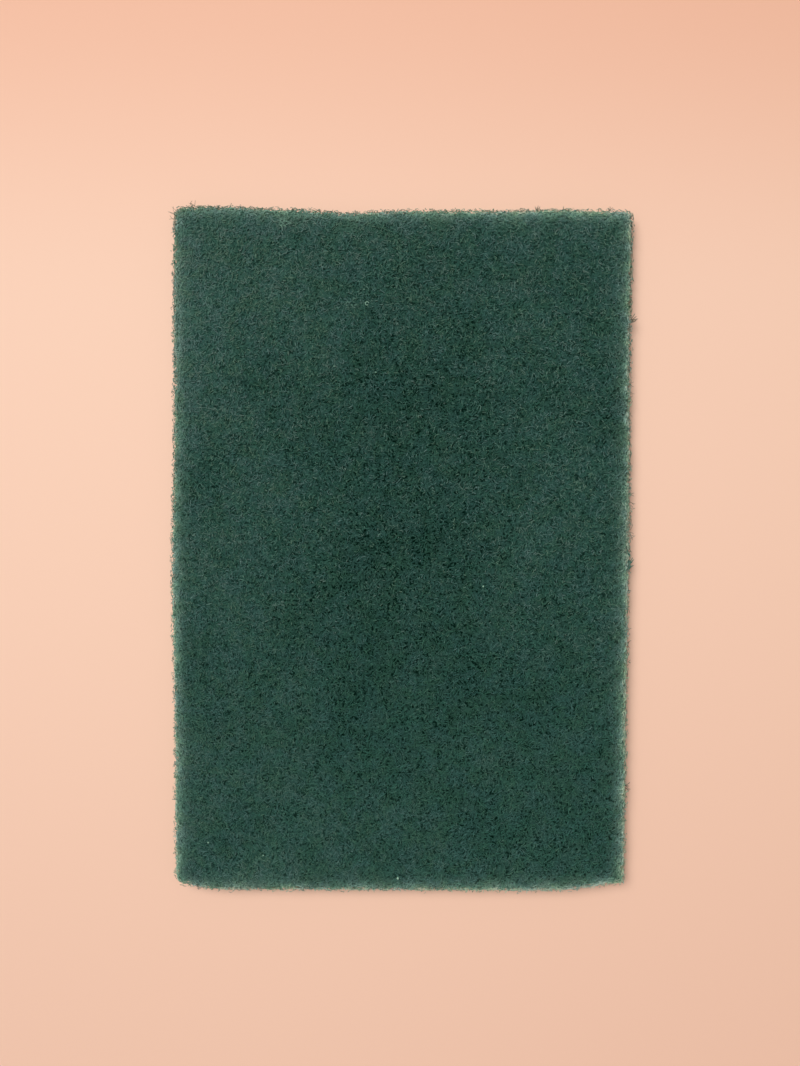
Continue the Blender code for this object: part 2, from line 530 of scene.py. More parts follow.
@dataclass(frozen=True)
class CoreFinish:
    """Finish of the matted inside of the web, which shows between the loose fibres. Its greens are
    darker than the fibres', painted shade of the web's depths.
    """

    # Greens darker than the fibres': painted shade of the web's depths
    dye: Dye = Dye((0.0, 0.009, 0.005), (0.031, 0.084, 0.065), (0.080, 0.160, 0.126))
    rim: RimColours = RimColours()
    roughness: float = 0.90
    specular: float = 0.03
    strand_size: float = mm(1.3)
    strand_thinness: float = 7.0
    second_strands: Place = (0.3, 0.1, 0.2)
    fine_detail: float = 1.0
    # Painted shade: dark pit spots on the matted inside, where the holes between strands lie in shade
    pit_size: float = mm(0.74)
    pit_clumping: float = 0.3
    pit_low: float = -0.16
    pit_high: float = 0.02
    speck_size: float = mm(0.38)
    clump_size: float = mm(3.0)
    clump_detail: float = 3.0
    clump_rough: float = 0.6
    level: float = 0.22
    strand_gain: float = 0.18
    speck_gain: float = 0.73
    clump_gain: float = 0.45
    tone_gain: float = 0.60
    calm: float = 0.82
    bump_height: float = mm(0.2)
    # Share of the painted light towards the cut
    painted_glow: float = 0.12
    rim_full: float = 0.50
    rim_pit: float = 0.28
    tone: WebToneAndShade = WebToneAndShade()
    band: WebRim = WebRim()
    hue: WebHue = WebHue()

    def strands(self, graph: Graph, place: Wire) -> Wire:
        """Draws two crossing sets of thin matted strands.

        Args:
            graph: The material's graph.
            place: The place on the pad.

        Returns:
            The strands' height, from 0 between them to 1 along their middle.
        """
        ridges = []
        for spot in (place, graph.vector("ADD", place, self.second_strands)):
            part = graph.noise(spot, self.strand_size, self.fine_detail)
            ridges.append((1.0 - graph.math("ABSOLUTE", part) * self.strand_thinness).clamp())
        return graph.math("MAXIMUM", *ridges)

    def make(self) -> bpy.types.Material:
        """Builds the material.

        Returns:
            The material.
        """
        material, graph, shader = new_material("web_inside", self.roughness, self.specular)
        place = graph.add("ShaderNodeTexCoord", None, None, "Object")
        ridge = self.strands(graph, place)
        clumps = graph.noise(place, self.clump_size, self.clump_detail, self.clump_rough)
        specks = graph.noise(place, self.speck_size, self.fine_detail)
        # Painted shade: dark pit spots, where the holes between the strands lie in shade
        pit_shade = graph.noise(place, self.pit_size, self.fine_detail) + clumps * self.pit_clumping
        unshaded = graph.smooth(pit_shade, self.pit_low, self.pit_high)
        specks = specks * (1.0 - self.tone.felted(graph, place) * self.calm)
        weight = self.level + ridge * self.strand_gain + specks * self.speck_gain
        weight = weight + clumps * self.clump_gain
        inside = graph.add("ShaderNodeAttribute", {"attribute_name": INSIDE}, None, "Fac")
        # The tone adds the darker middle, partly painted shade
        weight = weight * unshaded + self.tone.make(graph, place) * self.tone_gain
        # Painted light towards the cut
        weight = weight + self.band.painted_glow(graph, place, inside) * self.painted_glow
        web = self.dye.at(graph, weight)
        # The band is less pale in the painted shade of the pit spots
        rim = self.band.paleness(graph, place, inside) * (self.rim_pit + unshaded * self.rim_full)
        grey, olive = (share.clamp() for share in self.hue.shares(graph, place))
        colour = self.hue.cast(graph, self.rim.over(graph, web, rim.clamp()), grey, olive)
        graph.feed(shader.inputs["Base Color"], colour)
        inputs = {"Height": ridge, "Distance": self.bump_height, "Strength": 1.0}
        graph.feed(shader.inputs["Normal"], graph.add("ShaderNodeBump", None, inputs))
        return material


@dataclass(frozen=True)
class TableFinish:
    """Finish of the plain pale table, with painted light: palest at the left, towards the lamps, and
    darker towards the other sides, painted shade of the light's falloff.
    """

    near: Colour = (0.913, 0.607, 0.456)
    # Painted shade: how the colour darkens towards the right, the top and the bottom
    shade_to_right: Colour = (-0.012, -0.020, -0.019)
    shade_to_top: Colour = (-0.053, -0.123, -0.119)
    shade_to_bottom: Colour = (-0.061, -0.070, -0.059)
    right_range: tuple[float, float] = (-0.060, 0.170)
    top_range: tuple[float, float] = (0.080, 0.210)
    bottom_range: tuple[float, float] = (-0.090, 0.230)
    roughness: float = 0.75
    specular: float = 0.20

    def make(self) -> bpy.types.Material:
        """Builds the material.

        Returns:
            The material.
        """
        material, graph, shader = new_material("pale_table", self.roughness, self.specular)
        x, y, _ = graph.parted(graph.add("ShaderNodeTexCoord", None, None, "Object"))
        colour: object = self.near
        for change, along, limits in (
            (self.shade_to_right, x, self.right_range),
            (self.shade_to_top, y, self.top_range),
            (self.shade_to_bottom, y * -1.0, self.bottom_range),
        ):
            colour = graph.vector("ADD", colour, graph.scaled(change, graph.smooth(along, *limits)))
        graph.feed(shader.inputs["Base Color"], colour)
        return material


def link(item: bpy.types.Object) -> bpy.types.Object:
    """Puts an object into the scene."""
    bpy.context.scene.collection.objects.link(item)
    return item


def skin_of_solid(name: str) -> bpy.types.Mesh:
    """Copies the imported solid's mesh and joins its loose triangles.

    Args:
        name: Name of the new mesh.

    Returns:
        The copy, closed.
    """
    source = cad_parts[SOLID].data
    places = [vertex.co for vertex in source.vertices]
    corners = [tuple(polygon.vertices) for polygon in source.polygons]
    loose = bpy.data.meshes.new(name)
    loose.from_pydata(places, [], corners)
    copy = bmesh.new()
    copy.from_mesh(loose)
    bmesh.ops.remove_doubles(copy, verts=copy.verts, dist=mm(0.001))
    copy.to_mesh(loose)
    copy.free()
    return loose


def finished(item: bpy.types.Object, name: str) -> bpy.types.Object:
    """Turns an object with modifiers into a plain mesh object.

    Args:
        item: The object, which is removed.
        name: Name of the new object.

    Returns:
        The plain object, without modifiers.
    """
    graph = bpy.context.evaluated_depsgraph_get()
    mesh = bpy.data.meshes.new_from_object(item.evaluated_get(graph), depsgraph=graph)
    bpy.data.objects.remove(item, do_unlink=True)
    mesh.name = name
    return link(bpy.data.objects.new(name, mesh))


def declare(piece: bpy.types.Object) -> None:
    """Makes a piece ride on the pad's body and stand for the solid.

    Args:
        piece: The piece.
    """
    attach(piece, BODY)
    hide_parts(SOLID)


@dataclass
class WebCore:
    """The dark inside of the web, its darkness painted shade of the web's depths: the solid's form,
    drawn in a little, with a lumpy skin.
    """

    name: str = "web_core"
    voxel: float = mm(1.8)
    drawn_in_face: float = mm(0.32)
    drawn_in_cut: float = mm(0.9)
    lump_height: float = mm(0.35)
    lump_size: float = mm(2.2)
    finish: CoreFinish = CoreFinish()

    def shaped(self) -> bpy.types.Object:
        """Remeshes a copy of the solid into even faces.

        Returns:
            The core, still as large as the solid.
        """
        item = link(bpy.data.objects.new(self.name, skin_of_solid(self.name)))
        remesh = item.modifiers.new("even", "REMESH")
        remesh.mode = "VOXEL"
        remesh.voxel_size = self.voxel
        remesh.use_smooth_shade = True
        return finished(item, self.name)

    def draw_in(self, mesh: bpy.types.Mesh) -> None:
        """Moves each point inwards, further at the cut wall, and adds the lumps.

        Args:
            mesh: The core's mesh.
        """
        places = np.empty(3 * len(mesh.vertices), np.float32)
        mesh.vertices.foreach_get("co", places)
        places = places.reshape(-1, 3)
        outward = np.array([vertex.normal for vertex in mesh.vertices], np.float32)
        lumps = np.array([noise.noise(Vector(place) / self.lump_size) for place in places])
        inwards = self.drawn_in_cut + (self.drawn_in_face - self.drawn_in_cut) * abs(outward[:, 2])
        places -= outward * (inwards - lumps * self.lump_height)[:, None]
        mesh.vertices.foreach_set("co", places.ravel())
        mesh.update()

    def measure_inside(self, mesh: bpy.types.Mesh) -> None:
        """Stores how far each point lies inside the cut, seen from above.

        Args:
            mesh: The core's mesh.
        """
        skin = skin_of_solid("walls")
        places = [vertex.co for vertex in skin.vertices]
        walls = [tuple(p.vertices) for p in skin.polygons if abs(p.normal.z) < WALL_UPWARD]
        tree = BVHTree.FromPolygons(places, walls)
        bpy.data.meshes.remove(skin)
        flat = (Vector((vertex.co.x, vertex.co.y, WALL_LEVEL)) for vertex in mesh.vertices)
        inside = [tree.find_nearest(place)[3] for place in flat]
        mesh.attributes.new(INSIDE, "FLOAT", "POINT").data.foreach_set("value", inside)

    def build(self) -> bpy.types.Object:
        """Returns:
            The finished piece.
        """
        piece = self.shaped()
        self.draw_in(piece.data)
        self.measure_inside(piece.data)
        piece.data.materials.clear()
        piece.data.materials.append(self.finish.make())
        declare(piece)
        return piece


class Facing(Enum):
    """Which part of the skin a layer of fibres covers, by the upward share of its normal."""

    UPPER = (0.55, 1.01)
    UNDER = (-1.01, -0.55)
    CUT = (-0.55, 0.55)


@dataclass(frozen=True)
class FibreLayer:
    """One layer of crimped fibres on one side of the pad. Lengths are in metres.

    A lying fibre follows the skin. A standing one, with standing at 1, ends at the skin or
    a little outside it. A depth bias under 1 puts more of the fibres deep. Loose is the least
    share of the stand-out that a fibre may use past the cut. More up and more left are the
    shares by which the density grows from the middle to that end. Turns are in degrees.
    """

    name: str
    facing: Facing
    seed: int
    density: float
    length: float = mm(3.4)
    radius: float = mm(0.18)
    depth_low: float = 0.0
    depth_high: float = mm(0.3)
    depth_bias: float = 1.0
    crimp: float = mm(0.35)
    rise: float = mm(0.15)
    weave: float = mm(0.45)
    dive: float = mm(0.25)
    stand_out: float = mm(0.7)
    loose: float = 0.0
    more_up: float = 0.0
    more_left: float = 0.0
    curl_low: float = 20.0
    curl_high: float = 170.0
    lean_low: float = -4.0
    lean_high: float = 4.0
    standing: float = 0.0
    spans: int = 3
    tint_low: float = 0.2
    tint_high: float = 0.7
    # Painted highlights: how much lighter the thickest few fibres are tinted
    painted_glint: float = 0.34
    paleness: float = 1.0


class FibreTree:
    """Geometry nodes that lay crimped fibres over a part of the pad's skin."""

    # Fields of a layer that are no sockets, and names of the values stored on the way
    NOT_SOCKETS = ("name", "facing")
    LUCKS = ("luck_a", "luck_b", "luck_c", "luck_d", "luck_e", "luck_f")
    SPENT = (
        "middle", "outward", "forward", "side", "share",
        "sink", "grain", INSIDE, "around", "grey", "olive",
    )

    # Seeds, added to the layer's own, of the random numbers that aren't stored as lucks
    HUE_SALTS = (20, 21)
    WEAVE_SALT = 30
    GRAIN_SALT = 31

    # Density of the fibres: the share sown on plain web, and how it changes in patches
    SOWN_SHARE = 0.76
    SOWN_SIZE = mm(9.0)
    SOWN_DETAIL = 3.0
    SOWN_GAIN = 0.7
    SOWN_FELTED = 0.15

    # Form of a fibre: least and added share of the length and of the radius, and the crimp
    LEAST_LENGTH = 0.6
    ADDED_LENGTH = 0.7
    LEAST_RADIUS = 0.7
    ADDED_RADIUS = 0.6
    RING_POINTS = 3
    CRIMP_SIZE = mm(3.2)
    CRIMP_DRIFT = 40.0
    CRIMP_REACH = 4.0
    TAIL_POWER = 3.0

    # The lowest place of a fibre, and the rays that find the skin
    FLOOR = mm(0.2)
    RAY_START = mm(5.0)
    RAY_LENGTH = mm(8.5)

    # The ragged cut, and how much of the stand-out a lying fibre may use by luck
    RAGGED_SIZE = mm(4.5)
    RAGGED_DETAIL = 3.0
    RAGGED_REACH = mm(1.8)
    RAGGED_START = mm(0.36)
    RAGGED_UP = mm(0.22)
    FREE_POWER = 3.0
    FREE_GAIN = 1.5
    FREE_LOSS = 0.6
    LEAST_POINTS = 1.5

    # Tint and paleness of a fibre, and how wide it is drawn on the map
    HUE_DOUBT = 0.3
    MEAN_TINT = 0.52
    LIVELY = 1.52
    CALM = 1.12
    GRAIN = 0.34
    # Painted highlights: the luck above which a fibre's tint grows lighter
    PAINTED_GLINT_START = 0.88
    # Painted shade: how much darker a fibre's tint grows with each unit of depth that its point sinks
    SHADE = 0.24 / MILLIMETRE
    # Share of the tone, partly painted shade, in the tint
    TONE_TINT = 0.9
    # Share of the painted light towards the cut in the tint
    GLOW = 0.15
    PALE_SHARE = 0.95
    PALE_GRAIN = 1.5
    TONE_PALE = 0.10
    MAP_ALONG = 0.03
    MAP_AROUND = 0.015

    def __init__(
        self, material: bpy.types.Material, tone: WebToneAndShade, hue: WebHue, rim: WebRim
    ) -> None:
        """Builds the tree once, for all the layers.

        Args:
            material: The fibres' material.
            tone: The web's tone from place to place, partly painted shade.
            hue: The web's hue from place to place.
            rim: The pale band along the cut, partly painted light.
        """
        self.tree = bpy.data.node_groups.new("fibres", "GeometryNodeTree")
        self.graph = Graph(self.tree)
        self.tone = tone
        self.hue = hue
        self.rim = rim
        self.sockets: dict[str, str] = {}
        self.given: dict[str, Wire] = {}
        self.declare_inputs()
        self.make(material)

    def declare_inputs(self) -> None:
        """Gives the tree its named inputs, one for each size of a layer, and its output."""
        face = self.tree.interface
        face.new_socket("skin", in_out="INPUT", socket_type="NodeSocketGeometry")
        for size in fields(FibreLayer):
            if size.name not in self.NOT_SOCKETS:
                kind = "NodeSocketInt" if size.type is int else "NodeSocketFloat"
                face.new_socket(size.name, in_out="INPUT", socket_type=kind)
        for name in ("facing_low", "facing_high"):
            face.new_socket(name, in_out="INPUT", socket_type="NodeSocketFloat")
        face.new_socket("fibres", in_out="OUTPUT", socket_type="NodeSocketGeometry")
        node = self.tree.nodes.new("NodeGroupInput")
        for socket in node.outputs:
            if socket.name:
                self.sockets[socket.name] = socket.identifier
                self.given[socket.name] = Wire(self.graph, socket)

    def chance(self, salt: int) -> Wire:
        """A random number for each item, from 0 to 1, that changes with the seed."""
        inputs = {"Min_001": 0.0, "Max_001": 1.0, "Seed": self.given["seed"] + float(salt)}
        return self.graph.add("FunctionNodeRandomValue", {"data_type": "FLOAT"}, inputs, "Value_001")

    def between(self, name: str, share: Operand) -> Wire:
        """A value between a layer's low and high limits of one size."""
        low, high = self.given[name + "_low"], self.given[name + "_high"]
        return low + (high - low) * share

    def compare(self, first: Operand, operation: str, second: Operand) -> Wire:
        """Whether the first number is greater or less than the second."""
        settings = {"operation": operation, "data_type": "FLOAT"}
        return self.graph.add("FunctionNodeCompare", settings, {"A": first, "B": second})

    def store(
        self, geometry: Wire, name: str, value: Wire, kind: str = "FLOAT", domain: str = "POINT"
    ) -> Wire:
        """Stores a value on a geometry.

        Args:
            geometry: The geometry.
            name: The name that the value is stored under.
            value: The value.
            kind: The kind of value.
            domain: What holds the values, such as the points or the corners.

        Returns:
            The geometry with the value.
        """
        settings = {"data_type": kind, "domain": domain}
        inputs = {"Geometry": geometry, "Name": name, "Value": value}
        return self.graph.add("GeometryNodeStoreNamedAttribute", settings, inputs)

    def stored(self, name: str, kind: str = "FLOAT") -> Wire:
        """Reads a stored value."""
        settings = {"data_type": kind}
        return self.graph.add("GeometryNodeInputNamedAttribute", settings, {"Name": name})

    def stored_vector(self, name: str) -> Wire:
        """Reads a stored vector."""
        return self.stored(name, "FLOAT_VECTOR")

    def position(self) -> Wire:
        """The place of each item."""
        return self.graph.add("GeometryNodeInputPosition")

    def nearest(self, target: Wire, place: Wire) -> Wire:
        """The nearest place on the faces of a target."""
        inputs = {"Target": target, "Source Position": place}
        return self.graph.add("GeometryNodeProximity", {"target_element": "FACES"}, inputs, "Position")

    def turned(self, rotation: Wire, axis: Place, angle: Wire) -> Wire:
        """Turns a rotation further about one of its own axes.

        Args:
            rotation: The rotation.
            axis: The axis.
            angle: The angle in radians.

        Returns:
            The new rotation.
        """
        inputs = {"Axis": axis, "Angle": angle}
        turn = self.graph.add("FunctionNodeAxisAngleToRotation", None, inputs)
        inputs = {"Rotation": rotation, "Rotate By": turn}
        return self.graph.add("FunctionNodeRotateRotation", {"rotation_space": "LOCAL"}, inputs)

    def faces_within(self, low: Operand, high: Operand) -> Wire:
        """Finds the faces whose normal has its upward share within two limits.

        Args:
            low: The lower limit.
            high: The upper limit.

        Returns:
            Whether a face is one of them.
        """
        upward = self.graph.dot(self.graph.add("GeometryNodeInputNormal"), (0.0, 0.0, 1.0))
        above = self.compare(upward, "GREATER_THAN", low)
        below = self.compare(upward, "LESS_THAN", high)
        return self.graph.add("FunctionNodeBooleanMath", {"operation": "AND"}, {0: above, 1: below})

    def sown(self) -> Wire:
        """Sows the fibres' middles at random points of the skin, with their directions.

        Returns:
            The points.
        """
        graph, given = self.graph, self.given
        place = self.position()
        patches = graph.noise(place, self.SOWN_SIZE, self.SOWN_DETAIL) * self.SOWN_GAIN
        # The tone, partly painted shade, also thins the fibres where the web is darker
        patches = self.SOWN_SHARE + patches + self.tone.make(graph, place)
        patches = patches + self.tone.felted(graph, place) * self.SOWN_FELTED
        x, y, _ = graph.parted(place)
        sided = y * given["more_up"] * (2.0 / LENGTH) - x * given["more_left"] * (2.0 / WIDTH)
        inputs = {
            "Mesh": given["skin"],
            "Selection": self.faces_within(given["facing_low"], given["facing_high"]),
            "Density": given["density"] * patches.clamp() * (1.0 + sided),
            "Seed": given["seed"],
        }
        points = graph.add("GeometryNodeDistributePointsOnFaces", None, inputs, "Points")
        flat = graph.other(points, "Rotation")
        outward = graph.other(points, "Normal")
        points = self.store(points, "outward", outward, "FLOAT_VECTOR")
        for salt, name in enumerate(self.LUCKS):
            points = self.store(points, name, self.chance(salt))
        shares = self.hue.shares(graph, place)
        for salt, name, share in zip(self.HUE_SALTS, ("grey", "olive"), shares):
            doubt = (self.chance(salt) - 0.5) * self.HUE_DOUBT + 0.5
            points = self.store(points, name, self.compare(share, "GREATER_THAN", doubt))
        spun = self.turned(flat, (0.0, 0.0, 1.0), self.stored("luck_a") * (2.0 * math.pi))
        lean = self.between("lean", self.stored("luck_b")) * DEGREE
        leant = self.turned(spun, (0.0, 1.0, 0.0), lean)
        for name, axis in (("forward", (1.0, 0.0, 0.0)), ("side", (0.0, 1.0, 0.0))):
            inputs = {"Vector": axis, "Rotation": leant}
            turned = graph.add("FunctionNodeRotateVector", None, inputs)
            points = self.store(points, name, turned, "FLOAT_VECTOR")
        return self.store(points, "middle", place, "FLOAT_VECTOR")

    def strung(self, points: Wire) -> Wire:
        """Puts one plain line at each point, to be shaped later.

        Args:
            points: The fibres' middles.

        Returns:
            The lines.
        """
        graph = self.graph
        line = graph.add("GeometryNodeCurvePrimitiveLine", None, {"End": (MILLIMETRE, 0.0, 0.0)})
        inputs = {"Curve": line, "Count": self.given["spans"] + 1.0}
        line = graph.add("GeometryNodeResampleCurve", None, inputs)
        inputs = {"Points": points, "Instance": line}
        lines = graph.add("GeometryNodeInstanceOnPoints", None, inputs)
        lines = graph.add("GeometryNodeRealizeInstances", None, {"Geometry": lines})
        share = graph.add("GeometryNodeSplineParameter", None, None, "Factor")
        return self.store(lines, "share", share)

    def curled(self) -> Wire:
        """Places the fibres' points on arcs, each with a curl of its own.

        Returns:
            The points' places.
        """
        graph, given = self.graph, self.given
        half = self.stored("share") - 0.5
        size = given["length"] * (self.LEAST_LENGTH + self.ADDED_LENGTH * self.stored("luck_c"))
        hand = graph.math("ROUND", self.stored("luck_d")) * 2.0 - 1.0
        curl = self.between("curl", self.stored("luck_e")) * hand * DEGREE
        angle = curl * half
        reach = size / curl
        push = given["standing"] * (given["stand_out"] * self.stored("luck_f") ** 2.0 - size * 0.5)
        ahead = graph.scaled(self.stored_vector("forward"), graph.math("SINE", angle) * reach + push)
        beside = (1.0 - graph.math("COSINE", angle)) * reach
        aside = graph.scaled(self.stored_vector("side"), beside)
        return graph.vector("ADD", self.stored_vector("middle"), graph.vector("ADD", ahead, aside))

    def wandering(self, place: Wire) -> Wire:
        """Makes the smooth crimp along each fibre.

        Args:
            place: The place of each point before the crimp.

        Returns:
            A random vector, mostly within one unit.
        """
        graph = self.graph
        lucks = ("luck_c", "luck_d", "luck_e")
        drift = graph.joined(*(self.stored(name) * self.CRIMP_DRIFT for name in lucks))
        spot = graph.vector("ADD", graph.scaled(place, 1.0 / self.CRIMP_SIZE), drift)
        inputs = {"Vector": spot, "Scale": 1.0, "Detail": 1.0}
        wander = graph.add("ShaderNodeTexNoise", None, inputs, "Color")
        return graph.scaled(graph.vector("SUBTRACT", wander, (0.5, 0.5, 0.5)), self.CRIMP_REACH)

    def levelled(self, place: Wire, outward: Wire) -> Wire:
        """Brings a point to the skin's level.

        Args:
            place: The point.
            outward: The direction out of the skin.

        Returns:
            The place where a line along that direction meets the skin. Where it misses, the
            point is moved along it until level with the nearest place on the skin.
        """
        graph = self.graph
        inputs = {
            "Target Geometry": self.given["skin"],
            "Source Position": graph.vector("ADD", place, graph.scaled(outward, self.RAY_START)),
            "Ray Direction": graph.scaled(outward, -1.0),
            "Ray Length": self.RAY_LENGTH,
        }
        hit = graph.add("GeometryNodeRaycast", {"data_type": "FLOAT"}, inputs, "Is Hit")
        landed = graph.other(hit, "Hit Position")
        away = graph.vector("SUBTRACT", self.nearest(self.given["skin"], place), place)
        fall = graph.dot(away, outward)
        beside = graph.vector("ADD", place, graph.scaled(outward, fall))
        inputs = {"Switch": hit, "False": beside, "True": landed}
        return graph.add("GeometryNodeSwitch", {"input_type": "VECTOR"}, inputs)

    def inside_cut(self) -> Wire:
        """Measures how far a point lies inside the pad's cut, seen from above.

        Returns:
            The distance, below 0 outside the cut.
        """
        graph = self.graph
        walls = self.faces_within(-WALL_UPWARD, WALL_UPWARD)
        inputs = {"Geometry": self.given["skin"], "Selection": walls}
        wall = graph.add("GeometryNodeSeparateGeometry", {"domain": "FACE"}, inputs, "Selection")
        x, y, _ = graph.parted(self.position())
        flat = graph.joined(x, y, WALL_LEVEL)
        normal = graph.add("GeometryNodeInputNormal")
        inputs = {"Mesh": wall, "Value": normal, "Sample Position": flat}
        settings = {"data_type": "FLOAT_VECTOR"}
        outward = graph.add("GeometryNodeSampleNearestSurface", settings, inputs, "Value")
        return graph.dot(graph.vector("SUBTRACT", self.nearest(wall, flat), flat), outward)

    def trimmed(self, fibres: Wire) -> Wire:
        """Cuts off what runs past the ragged cut, and drops what is left without a length.

        Args:
            fibres: The fibres' centre lines.

        Returns:
            The centre lines that are left.
        """
        graph, given = self.graph, self.given
        fibres = self.store(fibres, INSIDE, self.inside_cut())
        free = self.stored("luck_f") ** self.FREE_POWER * self.FREE_GAIN - self.FREE_LOSS
        free = graph.math("MAXIMUM", graph.math("MAXIMUM", free, given["standing"]), given["loose"])
        place = self.position()
        _, y, _ = graph.parted(place)
        ragged = graph.noise(place, self.RAGGED_SIZE, self.RAGGED_DETAIL) * self.RAGGED_REACH
        ragged = ragged + self.RAGGED_START
        beyond = ragged + y * (2.0 * self.RAGGED_UP / LENGTH) - self.stored(INSIDE)
        past = self.compare(beyond, "GREATER_THAN", given["stand_out"] * free)
        inputs = {"Geometry": fibres, "Selection": past}
        fibres = graph.add("GeometryNodeDeleteGeometry", {"domain": "POINT"}, inputs)
        count = graph.add("GeometryNodeSplineLength", None, None, "Point Count")
        short = self.compare(count, "LESS_THAN", self.LEAST_POINTS)
        inputs = {"Geometry": fibres, "Selection": short}
        return graph.add("GeometryNodeDeleteGeometry", {"domain": "CURVE"}, inputs)

    def make(self, material: bpy.types.Material) -> None:
        """Joins the whole tree.

        Args:
            material: The fibres' material.
        """
        graph, given = self.graph, self.given
        fibres = self.strung(self.sown())
        outward = self.stored_vector("outward")
        curled = self.curled()
        wander = self.wandering(curled)
        lift = graph.dot(wander, outward)
        level = graph.vector("SUBTRACT", wander, graph.scaled(outward, lift))
        place = graph.vector("ADD", curled, graph.scaled(level, given["crimp"]))
        deep = graph.math("POWER", self.stored("luck_b"), given["depth_bias"])
        sink = self.between("depth", deep) - lift * given["rise"]
        tail = graph.math("ABSOLUTE", self.stored("share") * 2.0 - 1.0) ** self.TAIL_POWER
        woven = given["weave"] * (self.chance(self.WEAVE_SALT) - 0.5)
        sink = (sink + given["dive"] * tail + woven) * (1.0 - given["standing"])
        fibres = self.store(fibres, "sink", sink)
        fibres = self.store(fibres, "grain", self.chance(self.GRAIN_SALT) - 0.5)
        settled = self.levelled(place, outward)
        settled = graph.vector("SUBTRACT", settled, graph.scaled(outward, self.stored("sink")))
        inputs = {"Factor_Float": given["standing"], "A_Vector": settled, "B_Vector": place}
        place = graph.add("ShaderNodeMix", {"data_type": "VECTOR"}, inputs, "Result_Vector")
        x, y, z = graph.parted(place)
        place = graph.joined(x, y, graph.math("MAXIMUM", z, self.FLOOR))
        fibres = graph.add("GeometryNodeSetPosition", None, {"Geometry": fibres, "Position": place})
        fibres = self.skinned(self.trimmed(fibres))
        fibres = graph.add("GeometryNodeRealizeInstances", None, {"Geometry": fibres})
        inputs = {"Geometry": fibres, "Material": material}
        fibres = graph.add("GeometryNodeSetMaterial", None, inputs)
        graph.feed(self.tree.nodes.new("NodeGroupOutput").inputs[0], fibres)

    def skinned(self, fibres: Wire) -> Wire:
        """Gives the fibres their thickness and their tint map.

        Args:
            fibres: The fibres' centre lines.

        Returns:
            The closed tubes.
        """
        graph = self.graph
        inputs = {"Resolution": self.RING_POINTS, "Radius": 1.0}
        ring = graph.add("GeometryNodeCurvePrimitiveCircle", None, inputs)
        around = graph.add("GeometryNodeSplineParameter", None, None, "Index")
        ring = self.store(ring, "around", around)
        spread = self.LEAST_RADIUS + self.stored("luck_e") * self.ADDED_RADIUS
        inputs = {
            "Curve": fibres,
            "Profile Curve": ring,
            "Scale": self.given["radius"] * spread,
            "Fill Caps": True,
        }
        tubes = graph.add("GeometryNodeCurveToMesh", None, inputs)
        tubes = graph.add("GeometryNodeSetShadeSmooth", None, {"Geometry": tubes})
        chart = graph.joined(*self.chart(), 0.0)
        tubes = self.store(tubes, TINT_MAP, chart, "FLOAT2", "CORNER")
        for name in self.LUCKS + self.SPENT:
            inputs = {"Geometry": tubes, "Name": name}
            tubes = graph.add("GeometryNodeRemoveAttribute", None, inputs)
        return tubes

    def chart(self) -> tuple[Wire, Wire]:
        """Finds each point's place on the tint map, spread a little so that faces have width.

        Returns:
            The places across and up.
        """
        graph, given = self.graph, self.given
        place = self.position()
        tone = self.tone.make(graph, place)
        lively = self.LIVELY - self.tone.felted(graph, place) * self.CALM
        tint = self.between("tint", self.stored("luck_f")) - self.MEAN_TINT
        # Painted highlights: the thickest few fibres get a much lighter tint
        tint = tint + graph.smooth(self.stored("luck_e"), self.PAINTED_GLINT_START, 1.0) * given["painted_glint"]
        tint = (tint + self.stored("grain") * self.GRAIN) * lively + self.MEAN_TINT
        # Painted shade: darker where the tone is darker, and darker the deeper each point sinks
        tint = tint + tone * self.TONE_TINT - self.stored("sink") * self.SHADE
        inside = graph.math("MAXIMUM", self.stored(INSIDE), 0.0)
        # Painted light towards the cut
        tint = tint + self.rim.painted_glow(graph, place, inside) * self.GLOW
        uneven = self.PALE_SHARE + self.stored("grain") * self.PALE_GRAIN
        # Paleness of the band along the cut, partly painted light, with the tone's painted shade added
        pale = self.rim.paleness(graph, place, inside) * uneven + tone * self.TONE_PALE
        pale = pale * given["paleness"]
        across = tint.clamp() * MAP_REACH + MAP_MARGIN + self.stored("share") * self.MAP_ALONG
        up = pale.clamp() * MAP_REACH + MAP_MARGIN - self.stored("around") * self.MAP_AROUND
        return (across + self.stored("grey")) * 0.5, (up + self.stored("olive")) * 0.5

    def lay(self, layer: FibreLayer) -> bpy.types.Object:
        """Args:
            layer: The layer's sizes.

        Returns:
            The finished piece.
        """
        item = link(bpy.data.objects.new(layer.name, skin_of_solid(layer.name)))
        modifier = item.modifiers.new("fibres", "NODES")
        modifier.node_group = self.tree
        low, high = layer.facing.value
        values = {size.name: getattr(layer, size.name) for size in fields(layer)}
        values |= {"facing_low": low, "facing_high": high}
        for name, value in values.items():
            if name in self.sockets:
                modifier[self.sockets[name]] = value
        piece = finished(item, layer.name)
        declare(piece)
        return piece


